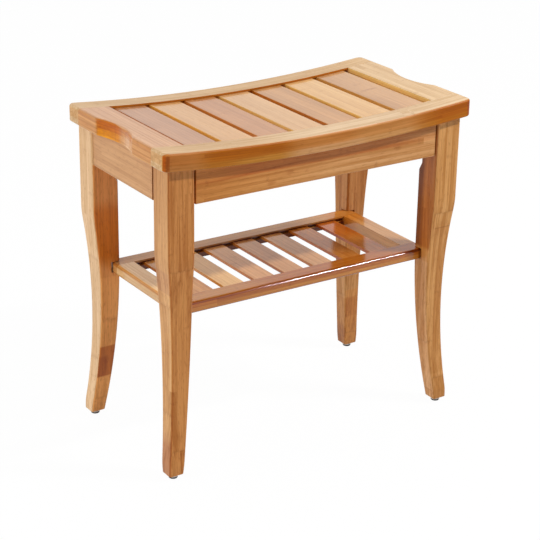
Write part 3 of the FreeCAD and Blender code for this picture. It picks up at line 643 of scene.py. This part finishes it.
@dataclass
class Dresser:
    """Gives finishes to the solids, and reports each one."""

    shading: SoftShading

    def dress(self, node: str, material: bpy.types.Material) -> None:
        """Puts a material on a solid and softens its shading.

        Args:
            node: The solid's name.
            material: Its finish.
        """
        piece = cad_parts[node]
        if not piece.material_slots:
            raise ValueError(f"{node} has no material slot")
        for holder in piece.material_slots:
            holder.material = material
        self.shading.smooth(piece)
        log.info("dressed %s with %s", node, material.name)

    def cover(self, piece: bpy.types.Object, material: bpy.types.Material) -> None:
        """Puts a material on a new piece."""
        piece.data.materials.append(material)
        log.info("made %s with %s", piece.name, material.name)

    def board(self, node: str, finish: BambooFinish) -> None:
        """Finishes a board in bamboo, with the pattern laid from the board's middle.

        Args:
            node: The solid's name.
            finish: Its finish.
        """
        low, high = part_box(node)
        middle = (low + high) / 2
        if finish.dish:
            middle.z = low.z
        self.dress(node, replace(finish, middle=tuple(middle)).material(f"{node}_bamboo"))


@dataclass
class SeatAssembly:
    """The dished seat: two rails, two end boards with hand scoops, and seven slats."""

    recess: float = 0.003
    rail_tint: Colour = (1.10, 1.15, 1.22)
    rail_side: Colour = (0.714, 0.328, 0.045)
    rail_plies: tuple[Ply, ...] = (Ply(15.0, (1.05, 1.20, 1.50)),)
    board_plies: tuple[Ply, ...] = (Ply(2.0, (0.94, 0.84, 0.74)), Ply(7.0, (1.10, 1.12, 1.12)),
                                    Ply(9.0, (1.00, 0.97, 0.92)), Ply(13.0, (0.88, 0.77, 0.66)),
                                    Ply(14.4, (1.00, 0.96, 0.90)), Ply(20.0, (1.12, 1.20, 1.25)))
    left_scoop: Colour = (1.10, 0.80, 0.02)
    right_scoop: Colour = (0.96, 0.54, 0.02)
    board_side: Colour = (1.28, 1.30, 0.90)
    slat_sides: tuple[Colour, ...] = ((1.20, 0.92, 0.45), (1.26, 1.30, 0.65), (0.94, 0.72, 0.38), (1.20, 1.32, 0.90),
                                      (0.79, 0.46, 0.10), (1.18, 1.28, 0.90), (1.08, 1.02, 0.64))
    slat_tints: tuple[Colour, ...] = ((1.10, 1.09, 1.10), (1.18, 1.22, 1.22), (1.27, 1.24, 1.10), (1.26, 1.42, 1.70),
                                      (1.38, 1.50, 1.30), (1.28, 1.44, 1.50), (1.28, 1.46, 1.50))
    knot: Knot = Knot((0.163, 0.004, 0.445), (0.020, 0.004, 0.020), (0.78, 0.70, 0.66))
    scoop_depth: float = 0.0112
    scoop_half: float = 0.047
    dish: Dish = field(init=False)

    def __post_init__(self) -> None:
        """Finds the dish from the rails' ends and the middle slat."""
        _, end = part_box("seat_front_rail")
        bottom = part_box("seat_slat_4")[1].z + self.recess
        self.dish = Dish(bottom, end.x * end.x / (2.0 * (end.z - bottom)))

    def dress(self, dresser: Dresser) -> None:
        """Finishes the seat's boards.

        Args:
            dresser: What puts the finishes on.
        """
        for node, seed in (("seat_front_rail", 3.0), ("seat_rear_rail", 8.0)):
            dresser.board(node, BambooFinish(
                Tone.CREAM, Grain.ALONG_X, width=11.0, depth=9.0, seed=seed, tint=self.rail_tint, contrast=0.35,
                figure=2.2, dish=self.dish, plies=self.rail_plies, patches=self.rail_marks(), roughness=0.34,
                lacquer=0.12))
        for side, way, tone, tint, seed in (("left", -1.0, Tone.STRAW, (1.12, 1.12, 1.42), 5.0),
                                            ("right", 1.0, Tone.CREAM, (1.09, 1.12, 1.12), 6.0)):
            dresser.board(f"seat_{side}_end_board", BambooFinish(
                tone, Grain.ALONG_Y, width=9.0, depth=6.0, seed=seed, tint=tint, dish=self.dish,
                plies=self.board_plies, patches=self.board_marks(way), lacquer=0.24))
        last = len(self.slat_tints)
        for number, (tint, side) in enumerate(zip(self.slat_tints, self.slat_sides), start=1):
            dresser.board(f"seat_slat_{number}", BambooFinish(
                Tone.ROSY if number % 2 else Tone.STRAW, Grain.ALONG_Y, width=15.5, depth=14.0, seed=20.0 + number,
                tint=tint, contrast=0.30, figure=0.9, dish=self.dish, knots=(self.knot,) if number == last else (),
                patches=tuple(Patch(side, facing=(way, 0.0, 0.0)) for way in WAYS)))

    def rail_marks(self) -> tuple[Patch, ...]:
        """The rails' amber sides and corners, and the darker stretches of the front.

        Returns:
            The patches.
        """
        low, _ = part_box("seat_front_rail")
        sides = [Patch(self.rail_side, facing=(0.0, way, 0.0), turn=0.45) for way in WAYS]
        sides += [Patch((0.93, 0.79, 0.62), facing=(way, 0.0, 0.0), turn=0.97) for way in WAYS]
        corners = [Patch(tint, facing=(x * across, y * along, 0.0), turn=turn) for x in WAYS for y in WAYS
                   for tint, across, along, turn in (((0.95, 0.58, 0.14), 0.80, 0.60, 0.95),
                                                     ((0.72, 0.50, 0.30), 0.36, 0.933, 0.965))]
        upper, lower = self.dish.low - 0.009, self.dish.low - 0.0135
        stretches = [Patch(tint, (start, low.y - 0.01, bottom), (end, low.y + 0.004, top), (soft, SHARP, 0.003),
                           FRONT, 0.45)
                     for tint, start, end, bottom, top, soft in (
                         ((1.10, 1.25, 3.40), -FAR, -0.184, -FAR, FAR, 0.018),
                         ((0.98, 0.88, 0.30), -0.172, -0.062, upper, FAR, 0.020),
                         ((1.22, 1.52, 4.50), -0.052, 0.150, -FAR, FAR, 0.022),
                         ((1.07, 1.22, 1.60), 0.046, 0.140, -FAR, FAR, 0.020),
                         ((1.12, 1.34, 2.10), -0.135, 0.052, -FAR, lower, 0.020),
                         ((0.97, 0.84, 0.40), 0.176, FAR, -FAR, FAR, 0.012))]
        pale = Patch((1.06, 1.13, 1.27), (-0.06, -FAR, -FAR), (FAR, -0.08, FAR), (0.05, SHARP, 1.0), UP)
        return (*sides, *corners, *stretches, pale)

    def board_marks(self, way: float) -> tuple[Patch, ...]:
        """An end board's amber scoop and sides.

        Args:
            way: The end that the board is on in X, -1 or 1.

        Returns:
            The patches.
        """
        low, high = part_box("seat_right_end_board")
        half, middle, facing = self.scoop_half, (low.z + high.z) / 2, (way, 0.0, 0.0)
        near, far = sorted((way * (high.x - self.scoop_depth - 0.0006), way * (high.x - 0.0007)))
        scoop = [Patch(tint, (near, start, bottom), (far, end, top), (0.0004, 0.006, CRISP), facing, 0.45)
                 for tint, start, end, bottom, top in (
                     (self.left_scoop if way < 0 else self.right_scoop, 0.003, half + 0.001, -FAR, FAR),
                     ((0.80, 0.60, 0.42), -0.004, half, middle + 0.001, FAR),
                     ((0.90, 0.74, 0.52), -half, -0.004, middle + 0.003, FAR),
                     ((1.10, 1.24, 1.70), -half, -0.010, -FAR, middle + 0.003))]
        return (Patch((1.04, 0.96, 0.68), facing=facing), *scoop, Patch(self.board_side, facing=(-way, 0.0, 0.0)))


@dataclass
class ApronSet:
    """The four aprons under the seat and the blocks that brace their corners."""

    strip_height: float = 9.5
    strip_depth: float = 18.0
    # the height above which the front apron's top strip is painted with the seat's shade
    shade_band_bottom: float = 0.4005

    def dress(self, dresser: Dresser) -> None:
        """Finishes the aprons and the blocks.

        Args:
            dresser: What puts the finishes on.
        """
        knots = tuple(Knot((x, -0.117, z), (0.008, 0.01, 0.005), (0.84, 0.74, 0.64)) for x, z in
                      ((-0.0752, 0.3844), (-0.048, 0.3944), (0.1237, 0.3981)))
        # the first tint is the apron's own paler, bluer right part; the next two are painted shade, darker and redder
        # on the top strip where the seat's overhang shades it, most at the middle
        strips = (Patch((1.02, 1.24, 2.10), (-0.03, -FAR, -FAR), soft=(0.14, SHARP, SHARP)),
                  Patch((0.95, 0.84, 0.74), (-FAR, -FAR, self.shade_band_bottom)),
                  Patch((0.96, 0.80, 0.66), (-0.14, -FAR, self.shade_band_bottom), (0.14, FAR, FAR), (0.04, 1.0, 0.001)))
        looks = {"front": (Tone.HONEY, (1.17, 1.17, 1.12), strips, knots),
                 "rear": (Tone.HONEY, (1.15, 1.18, 1.12), (), ()),
                 "left": (Tone.STRAW, (1.06, 1.05, 1.18), (), ()),
                 "right": (Tone.HONEY, (1.12, 1.18, 1.22), (), ())}
        for number, (side, (tone, tint, marks, smudges)) in enumerate(looks.items()):
            dresser.board(f"{side}_apron", BambooFinish(
                tone, Grain.ALONG_X if side in ("front", "rear") else Grain.ALONG_Y, self.strip_depth,
                self.strip_height, seed=31.0 + number, tint=tint, contrast=0.40, figure=1.6, pore=0.34,
                patches=marks, knots=smudges, roughness=0.30, lacquer=0.28))
        for number, corner in enumerate(Corner):
            dresser.board(f"{corner.word}_corner_block", BambooFinish(
                Tone.HONEY, Grain.ALONG_Z, width=8.0, depth=8.0, seed=41.0 + number, contrast=0.5, roughness=0.32))


@dataclass
class LegSet:
    """The four shaped legs, pressed from upright strips."""

    strip_width: float = 9.3
    strip_depth: float = 12.5
    tones: tuple[tuple[Tone, Colour], ...] = ((Tone.HONEY, (1.09, 1.07, 1.14)), (Tone.HONEY, (1.13, 1.28, 1.62)),
                                              (Tone.CREAM, (1.27, 1.28, 1.34)), (Tone.HONEY, (0.92, 0.98, 1.15)))

    def dress(self, dresser: Dresser) -> None:
        """Finishes the legs.

        Args:
            dresser: What puts the finishes on.
        """
        for number, (corner, (tone, tint)) in enumerate(zip(Corner, self.tones)):
            dresser.board(f"{corner.word}_leg", BambooFinish(
                tone, Grain.ALONG_Z, self.strip_width, self.strip_depth, seed=51.0 + number, tint=tint, contrast=0.75,
                figure=2.2, pore=0.45, joint_length=640.0, patches=self.marks(corner), roughness=0.30, lacquer=0.28))

    def marks(self, corner: Corner) -> tuple[Patch, ...]:
        """A leg's arris, the stretches of it that have a colour of their own, and painted shade and light where the
        seat and the shelf shade a face or leave it lit.

        Args:
            corner: Where the leg stands.

        Returns:
            The patches.
        """
        crisp, cut = (SHARP, SHARP, CRISP), (1.0, 0.003, 0.004)
        side_x, side_y = corner.value
        arris = Patch((0.82, 0.64, 0.44), facing=(0.7071 * side_x, 0.7071 * side_y, 0.0), turn=0.93)
        own = {
            Corner.FRONT_LEFT: (
                Patch((0.94, 1.15, 1.64), facing=LEFT),
                Patch.level((1.10, 1.16, 1.20), top=0.2595, facing=LEFT),
                Patch.level((0.92, 0.88, 0.92), 0.2595, 0.2895, 0.001, LEFT),
                Patch.level((0.68, 0.51, 0.47), top=0.058, soft=0.02, facing=LEFT)),
            Corner.FRONT_RIGHT: (
                Patch((1.04, 1.08, 1.12), (0.1950, -FAR, 0.2700), soft=crisp, facing=FRONT),
                Patch((0.70, 0.58, 0.46), (0.1950, -FAR, 0.2688), (FAR, FAR, 0.2700), crisp, FRONT),
                Patch.level((1.06, 1.12, 1.25), top=0.047),
                # painted shade: the inner face above the shelf is darker, where the seat and the aprons shade it
                Patch.level((0.70, 0.52, 0.38), 0.238, soft=0.004, facing=LEFT),
                Patch((0.62, 0.55, 0.50), (-FAR, -0.092, 0.238), soft=cut, facing=LEFT),
                Patch((1.22, 1.24, 1.20), (-FAR, -0.108, 0.238), (FAR, -0.096, FAR), cut, LEFT),
                # painted light: the inner face below the shelf is paler, where light from the floor reaches it
                Patch.level((1.05, 1.14, 1.50), top=0.219, facing=LEFT)),
            Corner.REAR_LEFT: (
                # painted shade: the front face is a deeper amber below the apron and darker still just above the
                # shelf, where the seat, the front apron and the shelf shade it; painted light: below the shelf it is
                # paler, where light reaches it
                Patch.level((1.04, 0.65, 0.30), top=0.377, facing=FRONT),
                Patch.level((0.88, 0.64, 0.28), 0.236, 0.318, 0.012, FRONT),
                Patch.level((1.10, 1.18, 1.28), top=0.214, facing=FRONT),
                Patch.level((0.68, 0.46, 0.26), 0.0625, 0.1095, facing=FRONT),
                Patch((0.80, 0.70, 0.60), (-FAR, -FAR, 0.0625), (-0.208, FAR, 0.094), (0.004, 1.0, 0.003), FRONT)),
            Corner.REAR_RIGHT: (
                Patch((1.08, 1.20, 1.45), (-FAR, -FAR, 0.09), (0.214, FAR, 0.155), crisp),
                Patch.level((1.06, 0.96, 0.76), top=0.104, facing=FRONT),
                Patch.level((0.91, 0.83, 0.76), 0.058, 0.092, facing=FRONT),
                Patch.level((0.76, 0.64, 0.48), top=0.040, soft=0.015, facing=LEFT))}
        return (arris, *own[corner])


@dataclass
class ShelfAssembly:
    """The slatted shelf between the legs."""

    amber_edge: Colour = (0.86, 0.62, 0.36)
    front_edge: Colour = (0.70, 0.42, 0.16)
    slat_side: Colour = (0.84, 0.58, 0.26)
    # each slat's tone and tint: partly its own colour and partly painted light and shade, lighter or darker by how
    # the key lamp and the seat's shadow fall on it
    slat_tones_and_light: tuple[tuple[Tone, Colour], ...] = (
        (Tone.HONEY, (1.06, 1.20, 1.34)), (Tone.CREAM, (1.38, 1.32, 1.00)), (Tone.STRAW, (1.28, 1.26, 1.26)),
        (Tone.STRAW, (1.07, 0.99, 0.92)), (Tone.STRAW, (1.18, 1.16, 1.12)), (Tone.HONEY, (1.04, 1.00, 0.80)),
        (Tone.HONEY, (1.18, 1.08, 0.80)))

    def dress(self, dresser: Dresser) -> None:
        """Finishes the shelf's boards.

        Args:
            dresser: What puts the finishes on.
        """
        # how soft the edge of the painted reflection of the rear right leg is
        leg_reflection_soft = (SHARP, 0.02, SHARP)
        looks = {
            "front_rail": (Tone.HONEY, (0.92, 0.95, 0.74), self.front_edge, 0.07, 0.6, (
                Patch((0.86, 0.60, 0.13), (-0.08, -FAR, -FAR), soft=(0.07, 1.0, 1.0), facing=UP),
                Patch((1.24, 1.14, 0.80), facing=FRONT, turn=0.92),
                Patch.level((0.80, 0.62, 0.40), 0.2262, soft=0.0008, facing=FRONT))),
            "rear_rail": (Tone.STRAW, (0.99, 0.95, 0.82), self.amber_edge, 0.13, 0.32, (
                # painted reflection: the rail's right end is amber where the rear right leg shows in its gloss
                Patch((1.05, 0.80, 0.40), (0.15, -FAR, -FAR), soft=(0.02, 1.0, 1.0)),
                # painted shade: the rear rail's inner face, below its top, is nearly black-brown where the slats and
                # the seat shade it
                Patch.level((0.26, 0.12, 0.05), top=0.2318, soft=SHARP, facing=FRONT))),
            "left_end_board": (Tone.CREAM, (1.16, 1.12, 1.02), self.amber_edge, 0.13, 0.5, (
                Patch((0.90, 0.62, 0.32), (-FAR, 0.078, -FAR), soft=(1.0, 0.004, 1.0)),
                # painted light: the board's top is paler, as where light from the left falls on it
                Patch((1.24, 1.34, 1.38), facing=UP))),
            "right_end_board": (Tone.STRAW, (1.14, 1.12, 1.02), self.amber_edge, 0.13, 0.5, (
                # painted reflection: the board's rear end is amber where the rear right leg shows in its gloss
                Patch((0.93, 0.62, 0.20), (-FAR, 0.04, -FAR), soft=leg_reflection_soft),))}
        for number, (side, (tone, tint, edge, roughness, lacquer, marks)) in enumerate(looks.items()):
            dresser.board(f"shelf_{side}", BambooFinish(
                tone, Grain.ALONG_X if "rail" in side else Grain.ALONG_Y, width=9.0, depth=10.5, seed=61.0 + number,
                tint=tint, patches=marks, edge=edge, roughness=roughness, lacquer=lacquer))
        # painted reflection: the last slat's rear part is amber where the rear right leg shows in its gloss
        rear = Patch((0.74, 0.50, 0.14), (-FAR, 0.005, -FAR), soft=leg_reflection_soft)
        last = len(self.slat_tones_and_light)
        for number, (tone, tint) in enumerate(self.slat_tones_and_light, start=1):
            dresser.board(f"shelf_slat_{number}", BambooFinish(
                tone, Grain.ALONG_Y, width=11.5, depth=10.0, seed=70.0 + number, tint=tint, contrast=0.35,
                patches=(Patch(self.slat_side, facing=LEFT), *((rear,) if number == last else ())), roughness=0.13))


@dataclass
class FeetSet:
    """The nail-on glides and the soft pads under the legs, turned about upright axes."""

    sides: int = 72
    rim_steps: int = 7
    flat_rings: int = 4
    rim: float = 0.0007
    pad_rim: float = 0.0012
    glide_finish: MouldedFinish = MouldedFinish((0.82, 0.80, 0.76), (0.66, 0.62, 0.56), 0.42, 0.15)
    pad_finish: MouldedFinish = MouldedFinish((0.060, 0.050, 0.045), (0.110, 0.095, 0.085), 0.80, 0.60)

    def dress(self, dresser: Dresser) -> None:
        """Builds a glide and a pad for each leg in place of their solids.

        Args:
            dresser: What puts the finishes on.
        """
        kinds = (("glide", self.rim, "glide_plastic", self.glide_finish),
                 ("foot_pad", self.pad_rim, "pad", self.pad_finish))
        for kind, rim, slot, finish in kinds:
            material = finish.material(f"{kind}_moulded")
            for corner in Corner:
                node = f"{corner.word}_{kind}"
                low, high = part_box(node)
                piece = self.turned(f"{node}_turned", self.disc(low, high, rim), (low + high) / 2)
                dresser.cover(piece, material)
                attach(piece, "root")
                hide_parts(node)

    def disc(self, low: Vector, high: Vector, rim: float) -> np.ndarray:
        """The half section of a disc with rounded rims: a quarter circle at the bottom and at the top.

        Args:
            low: The solid's lowest corner.
            high: The solid's highest corner.
            rim: The rims' radius.

        Returns:
            Rows of radius and height, from the bottom rim to the top rim.
        """
        radius = (high.x - low.x) / 2
        turn = np.linspace(0.0, math.pi / 2, self.rim_steps)
        bottom = np.stack([radius - rim + rim * np.sin(turn), low.z + rim - rim * np.cos(turn)], axis=1)
        top = np.stack([radius - rim + rim * np.cos(turn), high.z - rim + rim * np.sin(turn)], axis=1)
        flat = np.linspace(0.25, 0.95, self.flat_rings)[:, None] * np.array([[radius - rim, 0.0]])
        return np.concatenate([flat + [[0.0, low.z]], bottom, top, flat[::-1] + [[0.0, high.z]]])

    def turned(self, name: str, section: np.ndarray, axis: Vector) -> bpy.types.Object:
        """Carries a half section round an upright axis, and closes it with a point at each end.

        Args:
            name: The new piece's name.
            section: Rows of radius and height.
            axis: A point on the axis.

        Returns:
            The new piece.
        """
        angle = np.arange(self.sides) * (2.0 * math.pi / self.sides)
        radius, height = section[:, :1], np.repeat(section[:, 1:], self.sides, axis=1)
        rings = np.stack([axis.x + radius * np.cos(angle), axis.y + radius * np.sin(angle), height], axis=-1)
        ends = np.array([[axis.x, axis.y, section[0, 1]], [axis.x, axis.y, section[-1, 1]]])
        points = np.concatenate([rings.reshape(-1, 3), ends])
        here = np.arange(self.sides)
        after = (here + 1) % self.sides
        row = (np.arange(len(section) - 1) * self.sides)[:, None]
        walls = np.stack([row + here, row + after, row + self.sides + after, row + self.sides + here], axis=-1)
        last = (len(section) - 1) * self.sides
        floor = np.stack([after, here, np.full_like(here, len(points) - 2)], axis=-1)
        lid = np.stack([last + here, last + after, np.full_like(here, len(points) - 1)], axis=-1)
        mesh = bpy.data.meshes.new(name)
        mesh.from_pydata(points.tolist(), [], walls.reshape(-1, 4).tolist() + floor.tolist() + lid.tolist())
        mesh.polygons.foreach_set("use_smooth", np.ones(len(mesh.polygons), dtype=bool))
        mesh.update()
        piece = bpy.data.objects.new(name, mesh)
        bpy.context.scene.collection.objects.link(piece)
        return piece


@dataclass
class Fastenings:
    """The steel bolts, washers, inserts and screws, and the dowels."""

    steel: tuple[str, ...] = ("leg_bolts", "leg_washers", "leg_inserts", "block_screws")
    dowels: tuple[str, ...] = ("seat_frame_dowels", "apron_dowels", "shelf_frame_dowels")

    def dress(self, dresser: Dresser) -> None:
        """Finishes the fastenings.

        Args:
            dresser: What puts the finishes on.
        """
        zinc, beech = SteelFinish().material("zinc_plate"), PlainWoodFinish().material("dowel_beech")
        for node in self.steel:
            dresser.dress(node, zinc)
        for node in self.dowels:
            dresser.dress(node, beech)


@dataclass(frozen=True)
class Lamp:
    """A soft lamp that faces the stool from one direction, with its first side along a line."""

    name: str
    toward: Point
    far: float
    size: tuple[float, float]
    along: Point
    watts: float


@dataclass
class Studio:
    """The white floor, the pale room, the lamps and the camera."""

    aim: Point = (0.0, 0.0, 0.227)
    azimuth: float = math.radians(-33.4942)
    elevation: float = math.radians(22.1506)
    roll: float = math.radians(0.931)
    lens: float = 110.41
    offset: tuple[float, float] = (0.0008487, -0.0166406)
    distance: float = 2.281938
    sensor: float = 36.0
    floor_half: float = 9.0
    floor_glow: float = 0.97
    floor_greys: tuple[Colour, Colour] = ((0.60, 0.60, 0.60), (0.64, 0.64, 0.64))
    floor_seen: Colour = (0.95, 0.95, 0.95)
    pale_way: Point = (-0.35, 0.85, 0.4)
    room: tuple[float, float, float, float] = (-0.45, 0.5, 0.04, 0.95)
    lamps: tuple[Lamp, ...] = (
        Lamp("key_softbox", (0.57, -0.466, 0.678), far=2.51, size=(0.50, 0.13), along=(1.0, 0.0, 0.0), watts=38.5),
        Lamp("left_softbox", (-0.96, -0.05, 0.27), far=2.6, size=(1.7, 1.7), along=(0.0, 1.0, 0.0), watts=20.0))

    def build(self) -> None:
        """Builds the floor, the room, the lamps and the camera."""
        self.lay_floor()
        self.paint_room()
        for lamp in self.lamps:
            self.hang(lamp)
        self.set_camera()

    def lay_floor(self) -> None:
        """A flat square floor, nearly white to the camera, which keeps the stool's shadow."""
        bench = Bench("studio_floor")
        seen, mottle = bench.seen(), bench.noise(bench.place(), scale=3.0, detail=2.0)
        grey = bench.mix(mottle, *self.floor_greys)
        paint = bench.node("ShaderNodeBsdfDiffuse", [("Color", bench.mix(seen, grey, self.floor_seen))])
        glow = bench.node("ShaderNodeEmission", [("Color", (1.0, 1.0, 1.0))])
        share = bench.math("MULTIPLY", seen, self.floor_glow)
        blend = bench.node("ShaderNodeMixShader", enumerate((share, paint.outputs[0], glow.outputs[0])))
        bench.node("ShaderNodeOutputMaterial", [("Surface", blend.outputs[0])])
        half = self.floor_half
        mesh = bpy.data.meshes.new("studio_floor")
        mesh.from_pydata([(-half, -half, 0), (half, -half, 0), (half, half, 0), (-half, half, 0)], [], [(0, 1, 2, 3)])
        mesh.materials.append(bench.made)
        floor = bpy.data.objects.new("studio_floor", mesh)
        bpy.context.scene.collection.objects.link(floor)

    def paint_room(self) -> None:
        """A room that is pale behind, above and to the left of the stool, and dim at its front."""
        bench = Bench("studio_room", world=True)
        bpy.context.scene.world = bench.made
        where = bench.node("ShaderNodeTexCoord").outputs["Generated"]
        toward = bench.sum("DOT_PRODUCT", where, Vector(self.pale_way).normalized()).outputs["Value"]
        strength = bench.math("MAXIMUM", bench.spread(toward, self.room), bench.seen())
        shade = bench.node("ShaderNodeBackground", (("Color", (1.0, 1.0, 1.0)), ("Strength", strength)))
        bench.node("ShaderNodeOutputWorld", [("Surface", shade.outputs[0])])

    def hang(self, lamp: Lamp) -> None:
        """Hangs a lamp that faces the stool.

        Args:
            lamp: The lamp.
        """
        light = bpy.data.lights.new(lamp.name, "AREA")
        light.shape, light.size, light.size_y, light.energy = "RECTANGLE", *lamp.size, lamp.watts
        hung = bpy.data.objects.new(lamp.name, light)
        way, along = Vector(lamp.toward).normalized(), Vector(lamp.along)
        side = (along - way * way.dot(along)).normalized()
        facing = Matrix((side, way.cross(side), way)).transposed().to_4x4()
        hung.matrix_world = Matrix.Translation(Vector(self.aim) + way * lamp.far) @ facing
        bpy.context.scene.collection.objects.link(hung)

    def set_camera(self) -> None:
        """Sets the camera at the photograph's view: turned, raised, rolled and stepped aside."""
        back = Vector((math.sin(self.azimuth) * math.cos(self.elevation),
                       -math.cos(self.azimuth) * math.cos(self.elevation), math.sin(self.elevation)))
        level = Vector(UP).cross(back).normalized()
        upright = back.cross(level)
        right = level * math.cos(self.roll) + upright * math.sin(self.roll)
        up = upright * math.cos(self.roll) - level * math.sin(self.roll)
        eye = Vector(self.aim) + right * self.offset[0] + up * self.offset[1] + back * self.distance
        data = bpy.data.cameras.new("photo_camera")
        data.sensor_fit, data.sensor_width, data.lens = "HORIZONTAL", self.sensor, self.lens
        camera = bpy.data.objects.new("photo_camera", data)
        camera.matrix_world = Matrix.Translation(eye) @ Matrix((right, up, back)).transposed().to_4x4()
        bpy.context.scene.collection.objects.link(camera)
        bpy.context.scene.camera = camera


def main() -> None:
    """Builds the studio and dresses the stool."""
    logging.basicConfig(level=logging.INFO, format="%(message)s")
    bpy.context.scene.view_settings.view_transform = "Standard"
    Studio().build()
    dresser = Dresser(SoftShading())
    for assembly in (SeatAssembly(), ApronSet(), LegSet(), ShelfAssembly(), FeetSet(), Fastenings()):
        assembly.dress(dresser)


if __name__ == "__main__":
    main()
